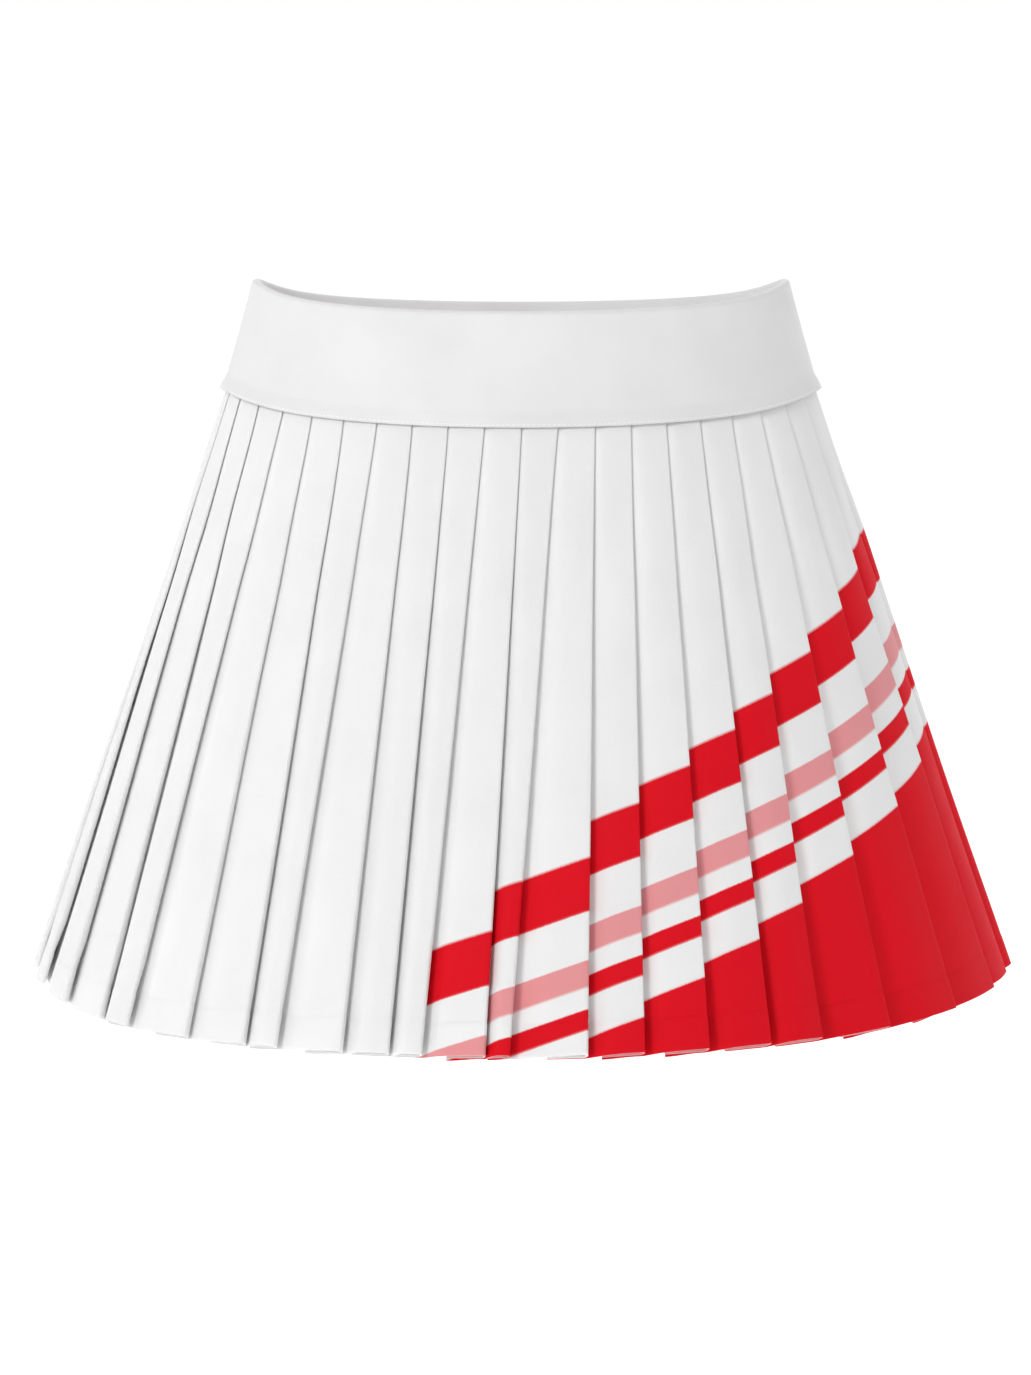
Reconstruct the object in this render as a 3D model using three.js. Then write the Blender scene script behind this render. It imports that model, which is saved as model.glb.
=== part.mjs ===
// A knife-pleated cheer skirt with a wide pull-on waistband.
// Millimetres, +Z up. The wearer faces -Y, and the viewer's right is +X.
// The origin is the middle of the waist opening, level with the top of the band at the two sides.
import * as THREE from "three";

// ---- Driving sizes ----
const PLEATS = 44; // knife pleats round the waist
const WAIST_HALF_WIDTH = 145; // waist seam, middle to side
const WAIST_HALF_DEPTH = 98; // waist seam, middle to front
const WAIST_CORNER = 24; // how much the oval's four quarters are eased, 0 for plain
const PLEAT_LENGTH = 305; // waist seam to hem, along the pleat
const SIDE_SLOPE = 18.6; // degrees from plumb at the sides
const FRONT_SLOPE = 24; // degrees from plumb at the front and back
const LEAN_ROUND = 1.5; // how far the hem is swung round the body
const LEAN_FORWARD = 16.5; // how far the side pleats lean to the front
const LEAN_LEFT = 21.5; // how far the front pleats lean to the wearer's right
const CLOTH = 0.5; // pleat cloth
const FOLD_DEPTH_TOP = 15; // cloth tucked behind each fold at the waist seam
const FOLD_DEPTH_HEM_SIDE = 37; // the same at the hem, enough to stay covered when the pleats swing out
const FOLD_DEPTH_HEM_FRONT = 18; // and at the front and back, where they spread less
const DEEPEST_FOLD = 0.9; // most of a pleat's own width that a fold may take
const LAYER_STEP_TOP = 1.0; // from one layer of a fold to the next, at the waist seam
const LAYER_STEP_HEM = 4.2; // the same at the hem, where the folds stand open
const PLEAT_TUCK = 2.5; // pleat tops held inside the band
const BAND_SIDE_DROP = 53; // top of the band to the waist seam, at the sides
const BAND_FRONT_DROP = 54.5; // the same at the front and back
const RIM_SAG = 13.5; // how far the top edge dips at the front and back
const BAND_FLARE_SIDE = 14; // how far the seam stands out past the top edge, at the sides
const BAND_FLARE_FRONT = 8; // the same at the front and back
const KNIT = 0.9; // band cloth
const ELASTIC = 1.2; // thickness of the elastic
const CLEARANCE = 0.4; // between pieces that lie on each other
const PLEAT_CLEARANCE = 0.7; // between the pleat tops and the band's outer leg
const TUCK_ROOM = 2.0; // behind the pleat tops, for them to turn in
const ELASTIC_ROOM = 0.8; // each side of the elastic, inside the band
const ELASTIC_TOP_GAP = 4; // top edge to the elastic
const ELASTIC_BOTTOM_GAP = 8; // elastic to the waist seam
const TAPE_THICKNESS = 0.6; // seam tape inside the waist seam
const TAPE_HEIGHT = 11;
const TAPE_LIFT = 1.5; // above the waist seam
const LABEL_WIDTH = 24;
const LABEL_LENGTH = 42;
const LABEL_THICKNESS = 0.5;
const BAND_STEPS = 31; // facets round one half of the band

const DEGREES = Math.PI / 180;
const UP = new THREE.Vector3(0, 0, 1);
const mix = (a, b, share) => a + (b - a) * share;

// ---- The waist oval ----
// Its turn is the angle of its outward normal, from the front round towards +X. The bend radius is
// MEAN + ROUND_2 cos 2t + ROUND_4 cos 4t, so its arc length and its points are exact formulas.
const ROUND_2 = 1.5 * (WAIST_HALF_WIDTH - WAIST_HALF_DEPTH);
const ROUND_4 = WAIST_CORNER;
const MEAN = (WAIST_HALF_WIDTH + WAIST_HALF_DEPTH) / 2 + ROUND_4 / 15;
const WAIST = 2 * Math.PI * MEAN;
const PITCH = WAIST / PLEATS;

function arcAt(turn) {
  return MEAN * turn + (ROUND_2 / 2) * Math.sin(2 * turn) + (ROUND_4 / 4) * Math.sin(4 * turn);
}

// The turn at a distance round the waist seam from the middle of the front.
function turnAt(arc) {
  let turn = arc / MEAN;
  for (let i = 0; i < 30; i++) {
    const radius = MEAN + ROUND_2 * Math.cos(2 * turn) + ROUND_4 * Math.cos(4 * turn);
    turn += (arc - arcAt(turn)) / radius;
  }
  return turn;
}

const outward = (turn) => new THREE.Vector3(Math.sin(turn), -Math.cos(turn), 0);
const along = (turn) => new THREE.Vector3(Math.cos(turn), Math.sin(turn), 0);

// A point at the waist seam's oval, moved out by some distance, at some height.
function ovalPoint(turn, out, height) {
  const reach = MEAN - (ROUND_2 / 3) * Math.cos(2 * turn) - (ROUND_4 / 15) * Math.cos(4 * turn);
  const drift = ((2 * ROUND_2) / 3) * Math.sin(2 * turn) + ((4 * ROUND_4) / 15) * Math.sin(4 * turn);
  return outward(turn)
    .multiplyScalar(reach + out)
    .addScaledVector(along(turn), drift)
    .setZ(height);
}

// 1 at the front and back, 0 at the sides.
const frontShare = (turn) => Math.cos(turn) ** 2;
const rimHeight = (turn) => -RIM_SAG * frontShare(turn);
const seamHeight = (turn) =>
  rimHeight(turn) - mix(BAND_SIDE_DROP, BAND_FRONT_DROP, frontShare(turn));
const bandFlare = (turn) => mix(BAND_FLARE_SIDE, BAND_FLARE_FRONT, frontShare(turn));

// ---- The pleated surface ----
// The waist seam in space, and the direction of the pleats down from it.
const seamPoint = (turn) => ovalPoint(turn, 0, seamHeight(turn));

function seamDirection(turn) {
  const step = 1e-3;
  return seamPoint(turn + step).sub(seamPoint(turn - step)).normalize();
}

function pleatDirection(turn) {
  const slope = mix(SIDE_SLOPE, FRONT_SLOPE, frontShare(turn)) * DEGREES;
  const facing = Math.cos(turn / 2) ** 4;
  const lean = LEAN_ROUND - LEAN_FORWARD * Math.sin(turn) - LEAN_LEFT * facing;
  return outward(turn)
    .multiplyScalar(Math.sin(slope))
    .addScaledVector(UP, -Math.cos(slope))
    .addScaledVector(along(turn), lean / PLEAT_LENGTH)
    .normalize();
}

// A point of the skirt: round the seam in pleats, down the pleat in mm, and off the surface in mm.
function skirtPoint(round, down, off) {
  const turn = turnAt(round * PITCH);
  const direction = pleatDirection(turn);
  const normal = direction.clone().cross(seamDirection(turn)).normalize();
  return seamPoint(turn).addScaledVector(direction, down).addScaledVector(normal, off);
}

// Width of one pleat at a distance down it, measured round the skirt.
function pitchAt(pleat, down) {
  return skirtPoint(pleat, down, 0).distanceTo(skirtPoint(pleat + 1, down, 0));
}

// Depth of the fold that lies under a pleat's edge, from 0 at the seam to 1 at the hem. It never
// takes more than most of the pleat, so that three layers lie on each other and no more.
function foldDepth(pleat, share) {
  const facing = frontShare(turnAt(pleat * PITCH));
  const hem = mix(FOLD_DEPTH_HEM_SIDE, FOLD_DEPTH_HEM_FRONT, facing);
  const room = DEEPEST_FOLD * pitchAt(pleat - 1, share * PLEAT_LENGTH);
  return Math.min(mix(FOLD_DEPTH_TOP, hem, share), room);
}

// ---- Solids ----
// A closed solid from rings of points: each ring is one cross-section in the same order, and
// `flat` is the section's own outline, for its end faces. A closed sweep has no ends.
function sweep(rings, flat, closed) {
  const points = rings.flat().flatMap((p) => [p.x, p.y, p.z]);
  const count = rings[0].length;
  const faces = [];
  const spans = closed ? rings.length : rings.length - 1;
  for (let i = 0; i < spans; i++) {
    const here = i * count;
    const there = ((i + 1) % rings.length) * count;
    for (let j = 0; j < count; j++) {
      const next = (j + 1) % count;
      faces.push(here + j, here + next, there + j);
      faces.push(there + j, here + next, there + next);
    }
  }
  if (!closed) {
    const last = (rings.length - 1) * count;
    for (const [a, b, c] of THREE.ShapeUtils.triangulateShape(flat, [])) {
      faces.push(a, c, b);
      faces.push(last + a, last + b, last + c);
    }
  }
  const geometry = new THREE.BufferGeometry();
  geometry.setAttribute("position", new THREE.Float32BufferAttribute(points, 3));
  geometry.setIndex(faces);
  return facingOut(geometry);
}

// Turns every face round if the solid is inside out.
function facingOut(geometry) {
  const at = geometry.getAttribute("position");
  const index = geometry.getIndex().array;
  const corner = [0, 1, 2].map(() => new THREE.Vector3());
  let volume = 0;
  for (let i = 0; i < index.length; i += 3) {
    corner.forEach((p, k) => p.fromBufferAttribute(at, index[i + k]));
    volume += corner[0].dot(corner[1].clone().cross(corner[2]));
  }
  if (volume < 0) {
    for (let i = 0; i < index.length; i += 3) {
      [index[i + 1], index[i + 2]] = [index[i + 2], index[i + 1]];
    }
  }
  geometry.computeVertexNormals();
  return geometry;
}

// ---- Materials ----
const cloth = (color, roughness) =>
  new THREE.MeshStandardMaterial({ color, roughness, metalness: 0 });
const pleatCloth = () => cloth(0xf5f4f4, 0.7);
const bandKnit = () => cloth(0xf1f0f0, 0.75);
const elasticWeave = () => cloth(0xe9e9e6, 0.85);
const tapeWeave = () => cloth(0xf3f3f1, 0.8);
const labelSatin = () => cloth(0xfafafa, 0.5);

// ---- Pleats ----
// A pleat's section, as [how far along the pleat, depth below the surface] with 0 at the fold
// before it and 1 at its own fold. The face starts hidden behind the fold before it, comes
// forward to the surface, turns back at its own fold, and returns behind itself.
function pleatSection(pleat, down) {
  const share = Math.max(down, 0) / PLEAT_LENGTH;
  const step = mix(LAYER_STEP_TOP, LAYER_STEP_HEM, share);
  const width = pitchAt(pleat, Math.max(down, 0));
  const before = pitchAt(pleat - 1, Math.max(down, 0));
  const hidden = foldDepth(pleat, share) / before;
  const tucked = foldDepth(pleat + 1, share) / width;
  const nose = (step + CLOTH) / 2 / width;
  const bend = nose + CLOTH / width;
  const face = [
    [-hidden, 2 * step],
    [-hidden / 2, 2 * step],
    [0, 2 * step],
    [(1 - tucked) / 2, step],
    [1 - tucked, 0],
    [1 - tucked / 2, 0],
    [1 - nose, 0],
  ];
  const fold = [
    [1 - nose * 0.3, 0.3 * (step + CLOTH)],
    [1 - nose * 0.3, 0.7 * (step + CLOTH)],
    [1 - nose, step + CLOTH],
  ];
  const inset = (CLEARANCE + CLOTH) / width;
  const back = [
    [1 - tucked / 2, step + CLOTH],
    [1 - tucked + inset, step + CLOTH],
    [1 - tucked + inset, step],
    [1 - tucked / 2, step],
    [1 - bend, step],
  ];
  const inside = face.map(([at, deep]) => [at, deep + CLOTH]).reverse();
  inside[0] = [1 - bend, CLOTH];
  return [...face, ...fold, ...back, ...inside];
}

const PLEAT_STATIONS = [-PLEAT_TUCK, 0, PLEAT_LENGTH / 3, (2 * PLEAT_LENGTH) / 3, PLEAT_LENGTH];

// Each pleat hangs from its own hinge line: its group stands at the middle of the pleat on the
// waist seam, with X along the seam, Y outwards and Z up.
function pleat(number) {
  const start = number - 1;
  const middle = turnAt((start + 0.5) * PITCH);
  const hinge = new THREE.Group();
  const axis = seamDirection(middle).negate();
  const out = UP.clone().cross(axis).normalize();
  const frame = new THREE.Matrix4().makeBasis(axis, out, axis.clone().cross(out));
  hinge.quaternion.setFromRotationMatrix(frame);
  hinge.position.copy(seamPoint(middle));
  hinge.updateMatrix();
  const toHinge = hinge.matrix.clone().invert();
  const rings = PLEAT_STATIONS.map((down) =>
    pleatSection(start, down).map(([at, deep]) =>
      skirtPoint(start + at, down, -deep).applyMatrix4(toHinge),
    ),
  );
  const flat = pleatSection(start, PLEAT_LENGTH / 2).map(
    ([at, deep]) => new THREE.Vector2(at * PITCH, deep),
  );
  const mesh = new THREE.Mesh(sweep(rings, flat, false), pleatCloth());
  mesh.name = "pleat_" + String(number).padStart(2, "0");
  hinge.add(mesh);
  return hinge;
}

// ---- Waistband ----
// The space inside the band at the waist seam, from the outside of the pleat tops inwards.
const STACK = 2 * LAYER_STEP_TOP + CLOTH;
const BAND_OUTSIDE = PLEAT_CLEARANCE + KNIT;
const BAND_INSIDE = -(STACK + TUCK_ROOM + KNIT);
const RIM_THICKNESS = 2 * KNIT + ELASTIC + 2 * ELASTIC_ROOM;

// The band's section: one piece of knit folded over the top, with its two edges at the seam.
// Points are [distance out from the seam oval, share of the way up from the seam to the rim].
function bandSection(turn) {
  const flare = bandFlare(turn);
  const tall = -seamHeight(turn) + rimHeight(turn);
  const rimOut = BAND_OUTSIDE - flare;
  const half = RIM_THICKNESS / 2;
  const crown = (radius, share) => [
    rimOut - half + radius * Math.cos(share * Math.PI),
    (tall - half + radius * Math.sin(share * Math.PI)) / tall,
  ];
  const shares = [0, 0.25, 0.5, 0.75, 1];
  return [
    [BAND_OUTSIDE, 0],
    ...shares.map((share) => crown(half, share)),
    [BAND_INSIDE, 0],
    [BAND_INSIDE + KNIT, 0],
    ...shares.map((share) => crown(half - KNIT, 1 - share)),
    [BAND_OUTSIDE - KNIT, 0],
  ];
}

function bandPoint(turn, [out, share]) {
  return ovalPoint(turn, out, mix(seamHeight(turn), rimHeight(turn), share));
}

// Half the band, centred on a turn, as flat facets of equal length round the seam.
function bandHalf(centre, name) {
  const middle = arcAt(centre);
  const half = WAIST / 4 - CLEARANCE / 2;
  const rings = [];
  for (let i = 0; i <= BAND_STEPS; i++) {
    const turn = turnAt(middle + mix(-half, half, i / BAND_STEPS));
    rings.push(bandSection(turn).map((point) => bandPoint(turn, point)));
  }
  const flat = bandSection(centre).map(
    ([out, share]) => new THREE.Vector2(out, share * BAND_FRONT_DROP),
  );
  const mesh = new THREE.Mesh(sweep(rings, flat, false), bandKnit());
  mesh.name = name;
  return mesh;
}

// ---- Elastic and tape ----
// A closed ring with a section of four corners, from a rule that gives them for each turn. Its
// facets line up with the band's, so that they lie evenly on each other.
function ring(corners, name, material) {
  const rings = [];
  for (let i = 0; i < 2 * BAND_STEPS; i++) {
    const turn = turnAt(WAIST * (i / (2 * BAND_STEPS) - 0.25));
    rings.push(corners(turn));
  }
  const mesh = new THREE.Mesh(sweep(rings, [], true), material);
  mesh.name = name;
  return mesh;
}

// The outside face of the band's inner leg or the inside face of its outer leg, at a height.
function bandInner(turn, height) {
  const tall = rimHeight(turn) - seamHeight(turn);
  const share = height / (tall - RIM_THICKNESS / 2);
  const rimInside = BAND_OUTSIDE - bandFlare(turn) - RIM_THICKNESS;
  return mix(BAND_INSIDE, rimInside, share);
}

function bandOuter(turn, height) {
  const tall = rimHeight(turn) - seamHeight(turn);
  const share = height / (tall - RIM_THICKNESS / 2);
  return mix(BAND_OUTSIDE, BAND_OUTSIDE - bandFlare(turn), share);
}

function elasticCorners(turn) {
  const low = ELASTIC_BOTTOM_GAP;
  const high = rimHeight(turn) - seamHeight(turn) - ELASTIC_TOP_GAP;
  const outer = (height) => bandOuter(turn, height) - KNIT - ELASTIC_ROOM;
  const corner = (height, deep) => ovalPoint(turn, outer(height) - deep, seamHeight(turn) + height);
  return [corner(low, 0), corner(high, 0), corner(high, ELASTIC), corner(low, ELASTIC)];
}

function tapeCorners(turn) {
  const low = TAPE_LIFT;
  const high = TAPE_LIFT + TAPE_HEIGHT;
  const face = (height) => bandInner(turn, height) - 2 * CLEARANCE;
  const corner = (height, deep) => ovalPoint(turn, face(height) - deep, seamHeight(turn) + height);
  return [
    corner(low, 0),
    corner(high, 0),
    corner(high, TAPE_THICKNESS),
    corner(low, TAPE_THICKNESS),
  ];
}

// ---- Care label ----
// A blank folded label that hangs inside from the seam tape, at the middle of the back.
function careLabel() {
  const turn = Math.PI;
  const flap = new THREE.Group();
  const face = bandInner(turn, TAPE_LIFT) - 2 * CLEARANCE - TAPE_THICKNESS / 2;
  flap.position.copy(ovalPoint(turn, face, seamHeight(turn) + TAPE_LIFT - CLEARANCE));
  flap.quaternion.setFromRotationMatrix(
    new THREE.Matrix4().makeBasis(along(turn).negate(), outward(turn), UP),
  );
  const geometry = new THREE.BoxGeometry(LABEL_WIDTH, LABEL_THICKNESS, LABEL_LENGTH);
  const mesh = new THREE.Mesh(geometry, labelSatin());
  mesh.name = "care_label";
  mesh.position.z = -LABEL_LENGTH / 2;
  flap.add(mesh);
  return flap;
}

// ---- The skirt ----
const skirt = new THREE.Group();
for (let number = 1; number <= PLEATS; number++) skirt.add(pleat(number));
skirt.add(bandHalf(0, "waistband_front"));
skirt.add(bandHalf(Math.PI, "waistband_back"));
skirt.add(ring(elasticCorners, "waist_elastic", elasticWeave()));
skirt.add(ring(tapeCorners, "seam_tape", tapeWeave()));
skirt.add(careLabel());

export default skirt;
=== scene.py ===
import math

import bmesh
import bpy
import numpy as np
from mathutils import Matrix, Vector


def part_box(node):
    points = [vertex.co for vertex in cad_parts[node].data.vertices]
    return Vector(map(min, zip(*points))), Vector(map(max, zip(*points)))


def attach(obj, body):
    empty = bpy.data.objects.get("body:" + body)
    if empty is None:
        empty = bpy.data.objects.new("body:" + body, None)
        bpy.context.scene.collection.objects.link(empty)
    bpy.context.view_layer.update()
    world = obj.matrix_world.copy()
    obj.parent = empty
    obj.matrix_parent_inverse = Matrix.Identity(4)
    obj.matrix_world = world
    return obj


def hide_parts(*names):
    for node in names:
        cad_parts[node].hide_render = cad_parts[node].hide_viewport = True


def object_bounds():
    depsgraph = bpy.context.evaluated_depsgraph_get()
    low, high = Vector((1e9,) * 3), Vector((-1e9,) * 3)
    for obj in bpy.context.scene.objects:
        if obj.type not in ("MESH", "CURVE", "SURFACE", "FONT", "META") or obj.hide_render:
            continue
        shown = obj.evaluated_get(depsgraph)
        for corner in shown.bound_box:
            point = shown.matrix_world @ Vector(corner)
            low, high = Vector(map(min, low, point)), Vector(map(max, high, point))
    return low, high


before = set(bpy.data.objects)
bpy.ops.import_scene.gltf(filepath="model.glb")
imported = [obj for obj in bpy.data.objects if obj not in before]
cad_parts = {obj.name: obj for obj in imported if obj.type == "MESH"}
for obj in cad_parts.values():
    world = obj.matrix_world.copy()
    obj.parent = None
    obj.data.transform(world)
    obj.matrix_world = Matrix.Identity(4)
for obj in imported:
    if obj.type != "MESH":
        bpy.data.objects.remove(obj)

bl_info = {
    "name": "Knife-pleated cheer skirt",
    "version": (1, 0, 0),
    "blender": (4, 5, 0),
    "location": "3D View > Sidebar > Skirt",
    "description": "Makes a pleated cheer skirt of cloth round the fixed frame",
    "category": "Add Mesh",
}

CAD_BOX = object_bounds()
MM = 0.001

# The sizes that the frame was built from, in metres and degrees.
PLEATS = sum(1 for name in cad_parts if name.startswith("pleat_"))
WAIST_HALF_WIDTH = 145 * MM
WAIST_HALF_DEPTH = 98 * MM
WAIST_CORNER = 24 * MM
SIDE_SLOPE = math.radians(18.6)
FRONT_SLOPE = math.radians(24)
LEAN_ROUND = 1.5 * MM
LEAN_FORWARD = 16.5 * MM
LEAN_LEFT = 21.5 * MM
FOLD_DEPTH_TOP = 15 * MM
FOLD_DEPTH_HEM_SIDE = 37 * MM
FOLD_DEPTH_HEM_FRONT = 18 * MM
DEEPEST_FOLD = 0.9
LAYER_STEP_TOP = 1.0 * MM
LAYER_STEP_HEM = 4.2 * MM
CLOTH_STACK = 2.5 * MM
BAND_SIDE_DROP = 53 * MM
BAND_FRONT_DROP = 54.5 * MM
RIM_SAG = 13.5 * MM
BAND_FLARE_SIDE = 14 * MM
BAND_FLARE_FRONT = 8 * MM
BAND_OUTSIDE = 1.6 * MM
TUCK_ROOM = 2.0 * MM
RIM_THICKNESS = 4.6 * MM

# How far each front fold wanders from its even place at the hem, in tenths of a pleat. Each row
# starts at the fold nearest the middle of the front and goes round to that side.
RIGHT_WANDER = (1.3, -4.5, -1.0, -1.3, -0.2, 0.5, -0.4, 2.2, 6.5, 9.5, 9.5, 7.5, 4.0)
LEFT_WANDER = (0.2, 4.4, 6.0, 3.8, 7.6, 5.6, 1.8, 5.0, 3.0, 0.5)
# Pleats whose printed bands don't start at the even step: those at the middle of the front and at
# the side seam. How far the bands start above the even step, in mm.
PRINT_SHIFT = {0: -13.0, 1: -1.0, 2: -11.5, 11: -11.0}
BACK_SEED = 7
# The print, upwards from the top edge of the solid red at the hem: where each band ends, in mm,
# and its colour.
PRINT_BANDS = ((0.0, "red"), (19.5, "white"), (29.5, "red"), (40.0, "white"), (53.0, "pink"),
               (76.5, "white"), (102.5, "red"))
FIRST_RED_PLEAT = 3
FIRST_RED_HEIGHT = 9 * MM
NO_PRINT_HEIGHT = 1.0

# Points across a pleat: its hidden part under the pleat before it, and its face from fold to fold.
HIDDEN_POINTS = 8
FACE_POINTS = 27
FACE_START = HIDDEN_POINTS
FACE_END = HIDDEN_POINTS + FACE_POINTS - 1
SEAM_ALLOWANCE = 1.6 * MM

# The waist seam's edge stitch lies this far above the seam, in a groove of the knit.
EDGE_STITCH_HEIGHT = 1.6 * MM
BAND_OUTSIDE_ROWS = 25

TAPE_WIDTH = 10.4 * MM
TAPE_THICKNESS = 0.5 * MM
TAPE_SIZES = {"Tape width": TAPE_WIDTH, "Tape thickness": TAPE_THICKNESS}
TAPE_MIDDLE = 7.0 * MM
TAPE_STITCH_HEIGHTS = (2.6 * MM, 11.2 * MM)
TAPE_POINTS = 260


# ---- Settings that a user would change ----
class SkirtSizes(bpy.types.PropertyGroup):
    pleat_length: bpy.props.FloatProperty(
        name="Pleat length", description="Waist seam to hem, along the pleat",
        default=305 * MM, min=0.1, unit="LENGTH")
    cloth: bpy.props.FloatProperty(
        name="Cloth", description="Thickness of the pleat cloth",
        default=0.36 * MM, min=0.0001, unit="LENGTH")
    knit: bpy.props.FloatProperty(
        name="Knit", description="Thickness of the waistband knit",
        default=0.9 * MM, min=0.0001, unit="LENGTH")
    hem_turn: bpy.props.FloatProperty(
        name="Hem turn", description="Height of the turned and stitched hem",
        default=16 * MM, min=0.001, unit="LENGTH")
    stitch: bpy.props.FloatProperty(
        name="Stitch", description="Length of one stitch",
        default=2.4 * MM, min=0.0005, unit="LENGTH")
    thread: bpy.props.FloatProperty(
        name="Thread", description="Thickness of the sewing thread",
        default=0.32 * MM, min=0.0001, unit="LENGTH")
    band_rise: bpy.props.FloatProperty(
        name="Band rise", description="How much higher the printed bands start on each pleat",
        default=16 * MM, min=0.0, unit="LENGTH")
    band_slope: bpy.props.FloatProperty(
        name="Band slope", description="Rise of the printed bands across a pleat, over its run",
        default=0.30, min=0.0, subtype="FACTOR")


class SkirtColours(bpy.types.PropertyGroup):
    white: bpy.props.FloatVectorProperty(
        name="White", description="Unprinted pleat cloth",
        default=(0.785, 0.785, 0.785), subtype="COLOR", min=0.0, max=1.0)
    red: bpy.props.FloatVectorProperty(
        name="Red", description="Printed red bands and hem",
        default=(0.66, 0.004, 0.013), subtype="COLOR", min=0.0, max=1.0)
    pink: bpy.props.FloatVectorProperty(
        name="Pink", description="Printed pale band",
        default=(0.72, 0.29, 0.30), subtype="COLOR", min=0.0, max=1.0)
    knit: bpy.props.FloatVectorProperty(
        name="Knit", description="Waistband",
        default=(0.69, 0.69, 0.69), subtype="COLOR", min=0.0, max=1.0)


# ---- The waist oval and the pleated surface ----
ROUND_2 = 1.5 * (WAIST_HALF_WIDTH - WAIST_HALF_DEPTH)
ROUND_4 = WAIST_CORNER
MEAN = (WAIST_HALF_WIDTH + WAIST_HALF_DEPTH) / 2 + ROUND_4 / 15
WAIST = 2 * math.pi * MEAN
PITCH = WAIST / PLEATS


def mix(a, b, share):
    return a + (b - a) * share


def smooth(low, high, value):
    """0 below low, 1 above high, and eased between."""
    t = np.clip((value - low) / (high - low), 0, 1)
    return t * t * (3 - 2 * t)


def arc_at(turn):
    return MEAN * turn + ROUND_2 / 2 * np.sin(2 * turn) + ROUND_4 / 4 * np.sin(4 * turn)


def turn_at(arc):
    """The direction that the waist faces at a distance round it from the middle of the front."""
    arc = np.asarray(arc, float)
    turn = arc / MEAN
    for _ in range(30):
        radius = MEAN + ROUND_2 * np.cos(2 * turn) + ROUND_4 * np.cos(4 * turn)
        turn = turn + (arc - arc_at(turn)) / radius
    return turn


def outward(turn):
    return np.stack([np.sin(turn), -np.cos(turn), 0 * turn], -1)


def along(turn):
    return np.stack([np.cos(turn), np.sin(turn), 0 * turn], -1)


def oval_point(turn, out, height):
    """A point off the waist seam's oval by a distance, at a height."""
    reach = MEAN - ROUND_2 / 3 * np.cos(2 * turn) - ROUND_4 / 15 * np.cos(4 * turn)
    drift = 2 * ROUND_2 / 3 * np.sin(2 * turn) + 4 * ROUND_4 / 15 * np.sin(4 * turn)
    flat = (reach + out)[..., None] * outward(turn) + drift[..., None] * along(turn)
    flat[..., 2] = height
    return flat


def front_share(turn):
    return np.cos(turn) ** 2


def rim_height(turn):
    return -RIM_SAG * front_share(turn)


def seam_height(turn):
    return rim_height(turn) - mix(BAND_SIDE_DROP, BAND_FRONT_DROP, front_share(turn))


def band_flare(turn):
    return mix(BAND_FLARE_SIDE, BAND_FLARE_FRONT, front_share(turn))


def seam_point(turn):
    return oval_point(turn, 0 * turn, seam_height(turn))


def unit(v):
    return v / np.linalg.norm(v, axis=-1, keepdims=True)


def pleat_direction(turn, length):
    slope = mix(SIDE_SLOPE, FRONT_SLOPE, front_share(turn))
    facing = np.cos(turn / 2) ** 4
    lean = LEAN_ROUND - LEAN_FORWARD * np.sin(turn) - LEAN_LEFT * facing
    down = np.sin(slope)[..., None] * outward(turn)
    down[..., 2] = -np.cos(slope)
    return unit(down + (lean / length)[..., None] * along(turn))


def skirt_point(place, down, deep, length):
    """A point of the skirt: round the seam in pleats, down the pleat, and below the surface."""
    turn = turn_at(place * PITCH)
    direction = pleat_direction(turn, length)
    step = 1e-3
    seam = unit(seam_point(turn + step) - seam_point(turn - step))
    normal = unit(np.cross(direction, seam))
    return seam_point(turn) + down[..., None] * direction - deep[..., None] * normal


def pitch_at(pleat, down, length):
    """Width of one pleat at distances down it."""
    zero = np.zeros_like(down)
    a = skirt_point(zero + pleat, down, zero, length)
    b = skirt_point(zero + pleat + 1, down, zero, length)
    return np.linalg.norm(a - b, axis=-1)


def fold_depth(pleat, share, length):
    """Depth of the fold under the edge at the start of a pleat, from the seam to the hem."""
    hem = mix(FOLD_DEPTH_HEM_SIDE, FOLD_DEPTH_HEM_FRONT, front_share(turn_at(pleat * PITCH)))
    room = DEEPEST_FOLD * pitch_at(pleat - 1, share * length, length)
    return np.minimum(mix(FOLD_DEPTH_TOP, hem, share), room)


def fold_wander():
    """How far each fold edge wanders at the hem, in pleats. Fold 0 is at the middle of the front."""
    rng = np.random.default_rng(BACK_SEED)
    wander = rng.uniform(-0.16, 0.16, PLEATS)
    for i, value in enumerate(RIGHT_WANDER):
        wander[i] = value / 10
    for i, value in enumerate(LEFT_WANDER):
        wander[-1 - i] = value / 10
    return wander


def drape(place, down, length):
    """The soft, slow waves that all layers of the cloth share, out from the even surface."""
    turn = 2 * math.pi * place / PLEATS
    share = np.clip(down / length, 0, 1)
    slow = 1.6 * np.sin(3 * turn + 1.3) + 1.1 * np.sin(5 * turn + 4.1)
    quick = 0.7 * np.sin(11 * turn + 9 * share) + 0.5 * np.sin(17 * turn + 2 - 7 * share)
    puff = 0.5 * np.sin(23 * turn + 14 * share) * np.exp(-((share - 0.22) / 0.12) ** 2)
    return (slow * share ** 1.3 + quick * share * (1.2 - share) + puff) * MM


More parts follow.
